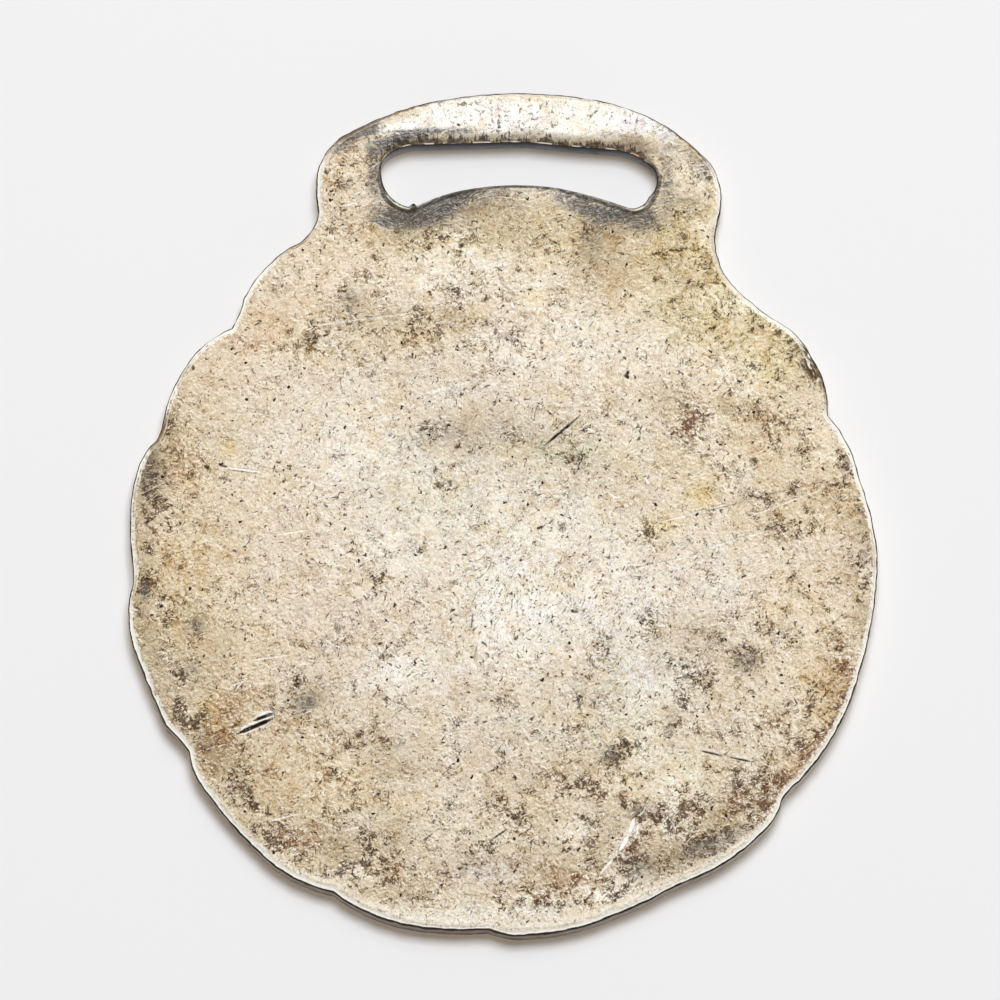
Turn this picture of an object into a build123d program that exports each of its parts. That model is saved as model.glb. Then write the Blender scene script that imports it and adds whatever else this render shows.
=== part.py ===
from build123d import *
import math
import os

# A die-struck pocket watch fob, one metal plate in one piece.
# It lies back up: +X across the body, +Y towards the strap slot, +Z out of the plain back.
# The struck front faces down and rests on its raised border at z = 0, and the origin is
# there, under the middle of the whole fob, body and tab together.

# Driving sizes of the plate, in millimetres
body_width = 38.0         # across the scalloped body
body_height = 37.7        # from the foot of the body to its top line, hidden under the tab
plate_thickness = 1.9     # from the border's flat to the back
slot_width = 14.05        # strap slot, end to end
slot_height = 3.45        # strap slot, from its lower corners to its upper edge
slot_dip = 0.4            # the slot's lower corners lie this far under the top line
bar_height = 2.55         # metal above the slot
side_bar = 3.3            # metal at each end of the slot
tab_offset = 0.8          # the tab stands this far to the right of the body's middle
edge_round = 0.24         # worn round of the outer edge on the back
slot_round = 0.12         # worn round of the slot's rim on the back
bar_bevel = 0.55          # width of the bar's worn slope down to the slot

# Sizes of the struck front
border_width = 1.5        # raised border along the scallops
relief_depth = 0.55       # from the border's flat to the struck field
medallion_radius = 7.6    # plain round medallion in the middle
medallion_rim = 0.7       # raised rim of the medallion
rim_height = 0.2          # from the medallion's floor to its rim
medallion_clearance = 0.12  # the medallion's rim stays this far short of the border's flat
bead_radius = 0.42
bead_gap = 0.2            # between two beads, and between the beads and the medallion
ray_gap = 0.45            # between the beads and the feet of the rays
ray_width = 0.9
ray_pitch = 1.75          # from ray to ray, along the circle of their feet
ray_height = 0.36

cut_overrun = 1.0         # every cut runs this far past what it cuts

round_knee_share = 0.3    # the outer round is two flats, which meet at this share of it

# The tab's sizes follow from the slot that it holds
tab_width = slot_width + 2 * side_bar
tab_rise = slot_height - slot_dip + bar_height
body_middle = -tab_rise / 2
top_line = body_middle + body_height / 2
slot_middle = top_line - slot_dip + slot_height / 2

# The ring of beads and the rays follow from the medallion
bead_circle = medallion_radius + bead_gap + bead_radius
bead_count = round(2 * math.pi * bead_circle / (2 * bead_radius + bead_gap))
ray_foot = bead_circle + bead_radius + ray_gap
ray_count = round(2 * math.pi * ray_foot / ray_pitch)

# The scalloped edge, in shares of the body's width and height, from the body's middle.
# It starts where the tab's left flare lands, and runs down the left side, along the foot
# and up the right side. After the start, points go in pairs: one on an arc, then its end.
scallop_shares = [
    (-0.286, 0.437),
    # left shoulder
    (-0.322, 0.405), (-0.347, 0.368),
    (-0.353, 0.347), (-0.363, 0.326),
    # upper left scallop
    (-0.392, 0.310), (-0.420, 0.281),
    (-0.444, 0.237), (-0.456, 0.191),
    (-0.460, 0.181), (-0.464, 0.173),
    # left scallop
    (-0.480, 0.152), (-0.490, 0.128),
    (-0.498, 0.075), (-0.496, 0.016),
    (-0.494, -0.004), (-0.494, -0.022),
    # lower left scallop, with a kink above its end
    (-0.500, -0.062), (-0.488, -0.124),
    (-0.464, -0.184), (-0.450, -0.216),
    (-0.434, -0.232), (-0.419, -0.251),
    # left scallop of the foot
    (-0.412, -0.279), (-0.392, -0.311),
    (-0.350, -0.363), (-0.303, -0.408),
    (-0.263, -0.430), (-0.226, -0.442),
    # long flat scallop of the foot
    (-0.190, -0.465), (-0.137, -0.485),
    (-0.076, -0.493), (-0.020, -0.492),
    # lowest scallop
    (0.007, -0.500), (0.036, -0.500),
    (0.084, -0.494), (0.131, -0.480),
    (0.183, -0.458), (0.215, -0.441),
    (0.234, -0.432), (0.252, -0.424),
    # right scallop of the foot, ending in a hollow notch
    (0.306, -0.395), (0.346, -0.360),
    (0.362, -0.341), (0.372, -0.317),
    (0.382, -0.303), (0.394, -0.292),
    # long right scallop
    (0.439, -0.232), (0.476, -0.141),
    (0.494, -0.062), (0.500, 0.015),
    (0.492, 0.067), (0.476, 0.122),
    (0.459, 0.171), (0.434, 0.207),
    # right shoulder
    (0.430, 0.249), (0.411, 0.291),
    (0.392, 0.317), (0.364, 0.338),
    (0.340, 0.355), (0.314, 0.379),
]
field_crest_share = 0.49  # crest of the arc that closes the struck field under the tab

# The tab's edge, in shares of the tab's width, from its middle, and of its rise, from the
# top line. It runs over the bar from the right foot to the left foot.
tab_shares = [
    (0.491, -0.183),
    (0.500, 0.028), (0.474, 0.349),
    (0.366, 0.688), (0.200, 0.931),
    (0.016, 1.000), (-0.192, 0.936),
    (-0.327, 0.798), (-0.442, 0.587),
    (-0.489, 0.367), (-0.500, 0.128),
    (-0.499, 0.000), (-0.494, -0.110),
]
flare_hollow_share = 0.14  # depth of the hollow flare at each foot, as a share of its length

# The slot's edge, in shares of its width and height, from its middle.
# It runs clockwise from the upper left corner.
slot_shares = [
    (-0.484, 0.280),
    # upper edge
    (-0.437, 0.399), (-0.368, 0.459),
    (-0.170, 0.481), (0.029, 0.500),
    (0.199, 0.429), (0.343, 0.384),
    # right end
    (0.430, 0.280), (0.491, 0.086),
    (0.500, -0.086), (0.470, -0.330),
    (0.447, -0.450), (0.401, -0.496),
    # lower edge, arched
    (0.285, -0.339), (0.148, -0.198),
    (-0.032, -0.150), (-0.206, -0.228),
    (-0.292, -0.327), (-0.379, -0.489),
    # left end
    (-0.455, -0.362), (-0.498, 0.011),
    (-0.498, 0.160), (-0.484, 0.280),
]


def body_points(inset):
    # the scalloped edge, drawn in by the inset
    width = body_width - 2 * inset
    height = body_height - 2 * inset
    return [(x * width, body_middle + y * height) for x, y in scallop_shares]


def tab_points(inset):
    width = tab_width - 2 * inset
    rise = tab_rise - inset
    return [(tab_offset + x * width, top_line + y * rise) for x, y in tab_shares]


def slot_points(outset, lift):
    # the slot's edge, widened by the outset, with its upper edge raised further by the lift
    width = slot_width + 2 * outset
    height = slot_height + 2 * outset
    return [
        (tab_offset + x * width, slot_middle + y * height + max(y, 0) * 2 * lift)
        for x, y in slot_shares
    ]


def arcs_through(points):
    # after the first point, each pair is a point on an arc and the arc's end
    for start, middle, end in zip(points[0:-2:2], points[1:-1:2], points[2::2]):
        ThreePointArc(start, middle, end)


def flare(start, end):
    # hollow arc between a foot of the tab and the body
    length = math.dist(start, end)
    SagittaArc(start, end, flare_hollow_share * length)


def plate_edge(inset):
    body_edge = body_points(inset)
    tab_edge = tab_points(inset)
    arcs_through(body_edge)
    flare(body_edge[-1], tab_edge[0])
    arcs_through(tab_edge)
    flare(tab_edge[-1], body_edge[0])


def field_face(inset):
    # the body's scallops, closed under the tab by one arc
    points = body_points(inset)
    crest = (0, body_middle + field_crest_share * (body_height - 2 * inset))
    with BuildSketch() as field:
        with BuildLine():
            arcs_through(points)
            ThreePointArc(points[-1], crest, points[0])
        make_face()
    return field.sketch


# Rays of the front, each a low ridge that runs from near the bead ring into the border
with BuildPart() as rays:
    field_middle = Vector(0, body_middle, relief_depth)
    ray_length = max(body_width, body_height) / 2 - ray_foot
    for spot in PolarLocations(ray_foot, ray_count):
        outward = spot.position.normalized()
        ridge_plane = Plane(field_middle + spot.position, x_dir=Axis.Z.direction.cross(outward), z_dir=outward)
        with BuildSketch(ridge_plane):
            Polygon((-ray_width / 2, 0), (ray_width / 2, 0), (0, -ray_height), align=None)
        extrude(amount=ray_length)
    with BuildSketch():
        add(field_face(border_width / 2))
    extrude(amount=plate_thickness, mode=Mode.INTERSECT)

with BuildPart() as fob_medal:
    # plate with its tab, rounded along the edge of the back
    knee = round_knee_share * edge_round
    edge_profile = [
        (0, 0),
        (plate_thickness - edge_round, 0),
        (plate_thickness - knee, knee),
        (plate_thickness, edge_round),
    ]
    for height, inset in edge_profile:
        with BuildSketch(Plane.XY.offset(height)):
            with BuildLine():
                plate_edge(inset)
            make_face()
    loft(ruled=True)

    # strap slot
    with BuildSketch(Plane.XY.offset(-cut_overrun)):
        with BuildLine():
            arcs_through(slot_points(0, 0))
        make_face()
    extrude(amount=plate_thickness + 2 * cut_overrun, mode=Mode.SUBTRACT)

    # worn rim of the slot, with the bar's slope
    for step in (-1, 1):
        with BuildSketch(Plane.XY.offset(plate_thickness + step * slot_round)):
            with BuildLine():
                arcs_through(slot_points((step + 1) * slot_round, (step + 1) * bar_bevel))
            make_face()
    loft(ruled=True, mode=Mode.SUBTRACT)

    # struck field of the front
    with BuildSketch(Plane.XY.offset(-cut_overrun)):
        add(field_face(border_width))
    extrude(amount=relief_depth + cut_overrun, mode=Mode.SUBTRACT)

    # sunburst, bead ring and medallion on the field
    add(rays.part)
    with Locations(field_middle):
        with PolarLocations(bead_circle, bead_count):
            Sphere(bead_radius)
    medallion_plane = Plane((0, body_middle, medallion_clearance))
    with BuildSketch(medallion_plane):
        Circle(medallion_radius)
    extrude(until=Until.NEXT)
    with BuildSketch(medallion_plane.offset(-cut_overrun)):
        Circle(medallion_radius - medallion_rim)
    extrude(amount=rim_height + cut_overrun, mode=Mode.SUBTRACT)

fob_medal.part.label = "fob_medal"

os.makedirs("parts", exist_ok=True)
export_step(fob_medal.part, "parts/fob_medal.step")
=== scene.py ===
from math import cos, pi, radians, sin

import bmesh
import bpy
import numpy as np
from mathutils import Matrix, Vector, kdtree, noise


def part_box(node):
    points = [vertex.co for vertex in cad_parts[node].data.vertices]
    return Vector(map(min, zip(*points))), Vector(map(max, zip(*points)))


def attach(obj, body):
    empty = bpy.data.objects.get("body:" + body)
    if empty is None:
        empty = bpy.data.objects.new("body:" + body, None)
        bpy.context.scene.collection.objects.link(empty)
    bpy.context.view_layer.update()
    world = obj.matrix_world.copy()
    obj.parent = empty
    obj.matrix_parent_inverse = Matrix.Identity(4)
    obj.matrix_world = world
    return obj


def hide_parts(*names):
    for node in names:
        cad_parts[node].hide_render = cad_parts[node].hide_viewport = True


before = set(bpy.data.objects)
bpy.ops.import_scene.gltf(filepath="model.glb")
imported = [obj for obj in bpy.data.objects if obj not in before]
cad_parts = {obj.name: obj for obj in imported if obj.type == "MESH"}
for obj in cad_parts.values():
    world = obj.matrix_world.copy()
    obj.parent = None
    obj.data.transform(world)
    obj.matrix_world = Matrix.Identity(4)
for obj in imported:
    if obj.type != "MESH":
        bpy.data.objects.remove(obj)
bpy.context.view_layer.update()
print("frame loaded")

mm = 0.001
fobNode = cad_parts["fob_medal"]
fobLow, fobHigh = (np.array(corner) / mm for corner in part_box("fob_medal"))

# Where the fob's four sides and the middle of the picture lie, in pixels of the photo
photo = {"left": 128.3, "right": 878.0, "top": 91.0, "foot": 933.5, "middle": 500.0}
mmPerPixel = (fobHigh[0] - fobLow[0]) / (photo["right"] - photo["left"])


def fromPhoto(px, py):
    # millimetres on the back, from a pixel of the photo
    x = fobLow[0] + (px - photo["left"]) / (photo["right"] - photo["left"]) * (fobHigh[0] - fobLow[0])
    y = fobHigh[1] - (py - photo["top"]) / (photo["foot"] - photo["top"]) * (fobHigh[1] - fobLow[1])
    return x, y


# Marks on the back, placed by pixels of the photo, with widths and depths in millimetres.
# Each stroke: from x, from y, to x, to y, half width, depth, darkness, raised lip, which is also painted as a
# highlight.
# A stroke whose darkness is below zero is bright instead.
strokes = {
    "gouges": [
        (238, 733, 273, 718, 0.10, 0.14, 1.0, 0.9), (254, 720, 275, 712, 0.085, 0.12, 1.0, 1.0),
    ],
    "cuts": [
        (544, 446, 581, 415, 0.07, 0.05, 0.9, 0.2), (219, 465, 227, 467, 0.06, 0.03, 0.9, 0.4),
        (228, 470, 252, 473, 0.03, 0.02, 0.5, 0.0), (700, 750, 722, 755, 0.05, 0.03, 0.8, 0.3),
        (728, 756, 751, 761, 0.05, 0.03, 0.8, 0.3), (492, 838, 507, 828, 0.05, 0.03, 0.7, 0.2),
        (473, 612, 471, 630, 0.04, 0.02, 0.6, 0.0), (477, 644, 474, 662, 0.04, 0.02, 0.4, 0.0),
    ],
    # the torn end of the right shoulder: dark marks for torn metal and painted shade in the dent, bright ones
    # as painted highlights
    "scar": [
        (803, 345, 813, 357, 0.04, 0.02, 0.8, 0.0), (813, 357, 818, 370, 0.045, 0.03, 0.75, 0.0),
        (804, 350, 807, 355, 0.05, 0.03, 0.9, 0.0), (808, 357, 811, 360, 0.045, 0.03, 0.9, 0.0),
        (805, 358, 808, 368, 0.05, 0.03, 0.7, 0.0), (807, 366, 814, 379, 0.085, 0.06, 1.0, 0.0),
        (813, 368, 817, 375, 0.06, 0.05, 1.0, 0.0), (816, 374, 823, 377, 0.06, 0.05, 0.95, 0.0),
        (801, 364, 806, 372, 0.12, 0.04, 0.5, 0.0), (824, 381, 825, 387, 0.06, 0.04, 0.9, 0.0),
        (808, 352, 811, 359, 0.045, -0.02, -1.0, 0.0), (812, 361, 817, 372, 0.07, -0.03, -1.0, 0.0),
        (807, 358, 810, 369, 0.08, -0.02, -0.6, 0.0), (816, 361, 822, 373, 0.05, 0.0, -0.3, 0.0),
    ],
    "hairlines": [
        (224, 467, 262, 472, 0.05, 0.01, -0.6, 0.0), (650, 525, 742, 500, 0.05, 0.01, -0.3, 0.0),
        (740, 520, 822, 489, 0.05, 0.01, -0.35, 0.0), (752, 498, 832, 480, 0.04, 0.01, 0.35, 0.0),
        (690, 553, 775, 528, 0.045, 0.01, -0.3, 0.0), (700, 512, 742, 503, 0.035, 0.01, 0.4, 0.0),
        (620, 572, 690, 556, 0.04, 0.01, -0.25, 0.0), (300, 327, 422, 311, 0.05, 0.01, -0.25, 0.0),
        (275, 535, 311, 529, 0.05, 0.01, -0.5, 0.0), (250, 660, 291, 654, 0.05, 0.01, -0.5, 0.0),
        (230, 686, 246, 680, 0.05, 0.01, -0.5, 0.0), (270, 820, 301, 812, 0.05, 0.01, -0.5, 0.0),
        (345, 829, 361, 825, 0.05, 0.01, -0.5, 0.0), (340, 206, 359, 200, 0.05, 0.01, -0.6, 0.0),
        # drag marks at the foot
        (634, 817, 629, 832, 0.11, 0.0, -0.9, 0.0), (628, 834, 619, 850, 0.10, 0.0, -0.9, 0.0),
        (638, 822, 636, 834, 0.07, 0.0, -0.7, 0.0), (612, 858, 600, 872, 0.09, 0.0, -0.6, 0.0),
    ],
}

# Each pit: x, y, radius, depth
pits = [
    (450, 483, 0.17, 0.08), (235, 551, 0.12, 0.05), (250, 538, 0.10, 0.05), (395, 605, 0.12, 0.05),
    (627, 375, 0.20, 0.07), (625, 358, 0.10, 0.04), (232, 348, 0.12, 0.05), (778, 633, 0.12, 0.05),
    (817, 631, 0.12, 0.05), (460, 867, 0.12, 0.05), (515, 869, 0.12, 0.05), (578, 848, 0.12, 0.05),
    (386, 843, 0.12, 0.05), (340, 868, 0.12, 0.05), (218, 520, 0.10, 0.04), (240, 522, 0.10, 0.04),
    (783, 549, 0.10, 0.04), (221, 464, 0.12, 0.05), (453, 610, 0.10, 0.05), (451, 619, 0.10, 0.05),
]

# Soft spots on the back, in pixels of the photo: x, y, radius across, radius up, strength,
# and for a turned one its turn in degrees. A strength below zero takes away. Each group
# makes one map of the plate.
spots = {
    # where dirt gathers
    "grime": [
        (168, 425, 10, 26, 0.6, 20), (792, 782, 22, 8, 0.5, 50), (225, 722, 12, 12, -0.3),
        (157, 462, 14, 34, 0.35, 14), (147, 560, 10, 70, 0.2), (218, 735, 16, 30, 0.3, -30),
        (400, 140, 40, 6, 0.3, -14), (455, 205, 60, 20, -0.3, 10), (560, 205, 60, 20, -0.3, -10),
        (290, 430, 100, 80, -0.18), (250, 570, 70, 60, -0.15), (600, 340, 60, 40, -0.1),
        (690, 120, 14, 30, 0.3, 40),
        # left edge
        (150, 480, 22, 40, 0.3), (146, 510, 12, 34, 0.12), (147, 588, 13, 15, 0.77),
        (145, 550, 8, 67, 0.42), (193, 628, 13, 15, 0.6), (191, 668, 13, 11, 0.59),
        (190, 712, 16, 13, 0.77), (166, 640, 11, 56, 0.34), (210, 742, 18, 22, 0.6, 40),
        (233, 775, 16, 16, 0.6), (250, 802, 16, 22, 0.68, 40), (176, 690, 16, 27, 0.42),
        (175, 440, 18, 45, 0.25, 20), (190, 560, 45, 134, 0.1), (262, 835, 13, 29, 0.51, 45),
        # foot
        (470, 830, 250, 70, 0.16), (640, 780, 160, 70, 0.12), (470, 905, 200, 16, 0.12),
        (800, 620, 60, 120, 0.12), (310, 770, 112, 69, 0.05), (302, 707, 16, 16, 0.5),
        (262, 722, 29, 13, 0.34, 25), (314, 680, 25, 11, 0.51, 15), (290, 838, 27, 17, 0.55),
        (374, 836, 34, 15, 0.5, 25), (385, 878, 36, 27, 0.5), (335, 868, 34, 16, 0.59, -20),
        (500, 893, 13, 16, 0.77), (506, 812, 13, 25, 0.51), (505, 845, 34, 25, 0.34),
        (450, 858, 22, 11, 0.42), (560, 884, 31, 20, 0.5), (622, 874, 13, 27, 0.5, -30),
        (600, 850, 13, 18, 0.3), (640, 812, 31, 13, 0.59), (700, 845, 45, 18, 0.45, 20),
        (735, 818, 52, 20, 0.5, 36), (782, 775, 40, 16, 0.55, 48), (826, 722, 34, 13, 0.59, 60),
        (655, 862, 29, 15, 0.5, 15), (690, 800, 67, 22, 0.42, 20), (610, 754, 20, 17, 0.5),
        (582, 786, 12, 13, 0.45), (622, 738, 18, 11, 0.59), (560, 760, 45, 45, 0.1),
        (330, 730, 56, 16, 0.25), (365, 775, 34, 18, 0.1),
        # middle
        (586, 700, 27, 11, 0.4, 45), (595, 640, 25, 13, 0.35), (672, 720, 13, 27, 0.5, -10),
        (705, 682, 17, 15, 0.5), (747, 661, 18, 16, 0.4), (712, 640, 43, 20, 0.35),
        (766, 624, 17, 13, 0.4), (655, 624, 13, 11, 0.51), (495, 686, 16, 11, 0.42),
        (370, 587, 29, 12, 0.42, 20), (452, 482, 16, 16, 0.34), (562, 440, 20, 25, 0.3, -20),
        (582, 462, 22, 10, 0.51, -20), (450, 436, 36, 15, 0.22), (505, 428, 47, 12, 0.2),
        (644, 528, 13, 29, 0.3, 15), (565, 575, 45, 11, 0.21), (440, 600, 56, 22, 0.26),
        (385, 640, 56, 22, 0.17), (380, 690, 22, 13, 0.34), (480, 730, 67, 16, 0.26),
        (770, 725, 22, 13, 0.42), (340, 455, 13, 13, 0.42), (280, 590, 67, 11, 0.17),
        # right
        (685, 408, 22, 27, 0.5), (690, 438, 11, 18, 0.51), (740, 412, 27, 12, 0.4),
        (782, 432, 38, 15, 0.45, -20), (716, 470, 16, 13, 0.34), (632, 410, 16, 20, 0.34),
        (750, 500, 45, 13, 0.34), (815, 505, 34, 22, 0.38), (780, 525, 18, 11, 0.42),
        (800, 580, 22, 16, 0.34), (847, 462, 9, 25, 0.68, -20), (862, 555, 13, 25, 0.35),
        (866, 588, 9, 16, 0.3), (846, 655, 11, 45, 0.51, 15), (810, 690, 22, 16, 0.42),
        (868, 515, 9, 34, 0.51),
        # upper left
        (350, 303, 13, 22, 0.4), (358, 290, 17, 11, 0.42), (305, 334, 27, 18, 0.25),
        (382, 331, 31, 12, 0.25, -15), (452, 318, 34, 15, 0.2, 10), (425, 335, 45, 13, 0.15),
        (290, 350, 34, 10, 0.34), (486, 361, 16, 10, 0.34), (492, 296, 20, 9, 0.42),
        (350, 370, 13, 10, 0.3), (245, 325, 18, 13, 0.34), (470, 345, 45, 10, 0.15),
        (410, 325, 123, 38, 0.15, 8), (520, 330, 45, 34, 0.17),
        # tab
        (408, 216, 36, 17, 0.42, -8), (450, 207, 45, 11, 0.34, 18), (395, 200, 20, 22, 0.34),
        (592, 250, 22, 29, 0.3), (628, 214, 38, 13, 0.42), (590, 205, 34, 10, 0.34, -18),
        (520, 196, 67, 8, 0.34), (675, 262, 27, 22, 0.51), (700, 286, 22, 15, 0.35),
        (530, 230, 56, 25, 0.3), (735, 318, 52, 26, 0.25, -35), (690, 248, 36, 46, 0.15),
        (785, 365, 28, 26, 0.2), (340, 215, 20, 38, 0.3), (340, 170, 16, 34, 0.34),
        (345, 137, 38, 12, 0.51, 32), (684, 147, 38, 12, 0.2, -38), (705, 165, 13, 16, 0.25),
        (385, 148, 16, 10, 0.42, 30), (652, 150, 18, 12, 0.2, -30), (668, 180, 13, 31, 0.34),
        (372, 172, 9, 29, 0.34), (812, 366, 16, 22, 0.85, 30), (440, 240, 34, 11, 0.42),
        (730, 265, 9, 25, 0.51, 10), (430, 250, 45, 11, 0.26),
    ],
    # where the plate is rubbed clean and pale, and painted highlights: the bright band along the bar and the
    # glow in the middle
    "polishAndSheen": [
        (672, 128, 34, 12, 0.7, -35), (380, 765, 20, 30, 0.2), (520, 120, 160, 12, 0.7),
        (650, 130, 24, 10, 0.6, -18), (385, 130, 26, 10, 0.5, 20), (560, 600, 110, 34, 0.8),
        (512, 622, 42, 42, 0.6), (405, 670, 48, 14, 0.9, 8), (640, 700, 18, 62, 0.7),
        (682, 770, 28, 20, 0.5), (520, 112, 112, 15, 1.4, -2), (405, 530, 40, 60, 0.35),
        (540, 520, 60, 30, 0.45), (480, 262, 70, 18, 0.35), (560, 340, 80, 40, 0.3),
        (330, 420, 60, 50, 0.3), (625, 838, 8, 32, 1.2, -28), (600, 360, 60, 40, 0.25),
        (620, 560, 50, 40, 0.4), (500, 570, 40, 16, 0.5), (450, 912, 200, 9, 0.6),
        (645, 118, 40, 9, 0.7, -18), (420, 118, 50, 9, 0.5, 10), (345, 470, 60, 30, 0.2),
        (470, 875, 36, 12, 0.4),
    ],
    # smooth grey tarnish
    "tarnish": [
        (440, 222, 50, 12, 0.35, -4), (600, 226, 50, 12, 0.1, -6), (400, 138, 34, 7, 0.2, -14),
        (425, 142, 30, 4, 0.3), (412, 202, 13, 6, 0.8), (154, 462, 13, 34, 0.3, 12),
        (420, 442, 30, 9, 0.15, 20), (560, 440, 20, 9, 0.2, -30), (416, 214, 20, 9, 0.5, 8),
        (618, 212, 26, 9, 0.2, -8), (440, 200, 34, 7, 0.5, 20), (490, 204, 50, 10, 0.4),
        (430, 131, 34, 4, 0.8, 2), (605, 134, 30, 5, 0.35, -8), (466, 129, 20, 4, 0.4),
        # round the slot and on the tab
        (408, 214, 34, 12, 1.1, 4), (388, 224, 16, 14, 0.1), (434, 206, 28, 9, 0.9, 18),
        (472, 193, 34, 6, 0.7, 4), (612, 216, 36, 11, 0.8, -8), (645, 212, 14, 15, 0.8),
        (586, 204, 28, 8, 0.6, -16), (556, 193, 34, 6, 0.4, -8), (374, 172, 8, 30, 0.7),
        (668, 180, 8, 30, 0.6), (690, 203, 16, 18, 0.4), (400, 236, 24, 8, 0.1, 10),
        (345, 137, 34, 10, 0.8, 32), (366, 124, 20, 8, 0.7, 22), (684, 147, 34, 10, 0.45, -38),
        (706, 166, 11, 13, 0.4), (655, 121, 18, 8, 0.2, -20), (392, 141, 22, 6, 1.0, 18),
        (643, 146, 22, 8, 0.5, -22), (592, 246, 16, 20, 0.4),
        # edges
        (145, 484, 10, 40, 0.3), (145, 590, 7, 12, 0.7), (196, 627, 10, 11, 0.6), (191, 670, 8, 9, 0.5),
        (863, 556, 8, 16, 0.4), (848, 466, 7, 18, 0.5, -20), (205, 738, 12, 16, 0.4, 40),
        (242, 790, 12, 16, 0.4, 40),
        # body
        (305, 702, 14, 13, 0.7), (636, 866, 26, 18, 0.45), (704, 846, 32, 13, 0.6, 20),
        (742, 826, 24, 10, 0.3, 34), (640, 812, 24, 12, 0.5), (747, 661, 16, 13, 0.6),
        (612, 755, 14, 12, 0.5), (450, 436, 40, 12, 0.2), (512, 428, 50, 9, 0.12),
        (583, 461, 22, 10, 0.3, -20), (351, 300, 14, 18, 0.5), (670, 726, 9, 20, 0.4, -10),
        (370, 745, 50, 14, 0.25), (560, 560, 30, 12, 0.2), (712, 640, 30, 14, 0.3),
    ],
    # rust and brown
    "rust": [
        (186, 462, 16, 20, 1.0), (200, 530, 30, 60, 0.3), (690, 420, 16, 34, 0.9),
        (760, 420, 46, 18, 0.6), (848, 668, 14, 52, 1.2, 12), (775, 722, 26, 16, 0.8),
        (800, 766, 44, 12, 1.3, 50), (735, 800, 50, 20, 0.8, 30), (660, 800, 40, 12, 0.5),
        (565, 880, 34, 18, 1.2), (300, 836, 26, 16, 1.1), (212, 745, 16, 34, 1.35, -30),
        (240, 700, 30, 18, 1.0), (300, 775, 80, 40, 0.4), (400, 868, 60, 22, 0.5),
        (540, 790, 60, 30, 0.3), (180, 600, 20, 60, 0.4), (280, 600, 40, 80, 0.15),
        (640, 840, 30, 20, 0.5), (345, 215, 20, 30, 0.4), (365, 228, 18, 12, 0.5),
        (480, 300, 60, 14, 0.3), (420, 345, 26, 12, 0.4), (620, 390, 20, 10, 0.4),
    ],
    # slow lighter and darker patches, darker below zero: partly the plate's own tone and stains, partly
    # painted light and shade, such as the highlight across the bar
    "toneAndShading": [
        (735, 305, 16, 10, 0.5, 30), (225, 722, 10, 12, 0.6), (598, 855, 9, 12, -0.7),
        (700, 838, 20, 8, -0.4, 10), (168, 425, 10, 24, -1.2, 20), (792, 782, 20, 8, -0.8, 50),
        (523, 130, 40, 8, 0.5), (690, 300, 14, 12, 0.5), (398, 828, 14, 12, -0.4),
        (226, 726, 10, 10, 0.4), (380, 130, 22, 8, 0.5, -14), (640, 148, 16, 9, -0.6),
        (462, 522, 16, 12, 0.4), (328, 740, 16, 12, 0.4), (328, 764, 18, 10, 0.4, 40),
        (445, 765, 14, 14, 0.4), (198, 618, 9, 12, -0.7), (166, 610, 9, 9, 0.6), (862, 575, 14, 18, 0.5),
        (452, 322, 14, 11, -0.6), (548, 815, 22, 10, -0.6), (704, 788, 12, 10, -0.5),
        (690, 850, 14, 9, -0.6), (662, 722, 14, 14, -0.5), (668, 815, 18, 14, 0.6),
        (620, 790, 16, 10, 0.4), (605, 893, 16, 9, 0.5), (588, 838, 13, 18, 0.5, 30),
        (415, 295, 22, 16, 0.4), (464, 242, 14, 16, 0.4), (822, 680, 20, 18, 0.5),
        (800, 705, 16, 12, 0.4), (500, 232, 40, 12, -0.4), (722, 308, 22, 14, 0.6),
        (795, 338, 18, 12, 0.6, 30), (765, 385, 26, 20, 0.3), (645, 530, 12, 14, 0.5),
        (672, 680, 14, 12, 0.5), (692, 640, 14, 12, -0.3), (500, 600, 20, 40, 0.3),
        (664, 822, 14, 9, 0.5), (690, 796, 16, 8, 0.5), (740, 786, 14, 12, 0.4), (762, 802, 12, 10, -0.4),
        (556, 870, 14, 10, -0.5), (590, 890, 18, 8, 0.4), (650, 865, 14, 9, -0.6),
        (709, 812, 15, 10, -0.6), (372, 748, 18, 10, 0.3), (374, 868, 14, 9, 0.4),
        (398, 895, 22, 8, -0.4), (574, 830, 12, 14, 0.5), (318, 694, 16, 12, -0.6),
        (255, 768, 24, 10, -0.4, 20), (395, 768, 28, 8, -0.3, -10), (450, 758, 18, 12, 0.3),
        (157, 610, 9, 13, 0.6), (182, 622, 9, 9, -0.7), (191, 738, 13, 8, -0.6, 30),
        (225, 720, 12, 10, 0.4), (698, 415, 13, 12, 0.5), (724, 405, 13, 8, -0.6),
        (715, 370, 40, 14, 0.3, -20), (866, 572, 8, 20, 0.6), (450, 316, 13, 11, -0.6),
        (510, 236, 24, 13, -0.5), (690, 143, 14, 8, -0.6, -30), (653, 135, 12, 8, -0.5),
        (701, 242, 9, 30, 0.4), (722, 300, 14, 16, 0.5), (801, 340, 12, 13, 0.6),
        (600, 312, 14, 14, -0.4), (520, 131, 26, 8, 0.6), (604, 128, 18, 8, 0.5, -8),
        (460, 236, 14, 18, 0.4), (704, 170, 8, 14, 0.6), (300, 688, 12, 12, 0.6), (325, 782, 14, 12, 0.5),
        (515, 330, 12, 8, 0.5), (815, 520, 30, 12, 0.4, -20), (395, 770, 40, 10, -0.4, -10),
        (385, 828, 14, 12, -0.6), (400, 890, 30, 12, -0.5), (590, 575, 14, 10, -0.3),
        (345, 460, 60, 70, 0.25), (385, 660, 24, 16, 0.5), (790, 640, 24, 40, 0.3),
        (660, 680, 24, 16, 0.4), (520, 112, 90, 12, -0.3), (400, 114, 22, 7, -0.6, 12),
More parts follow.
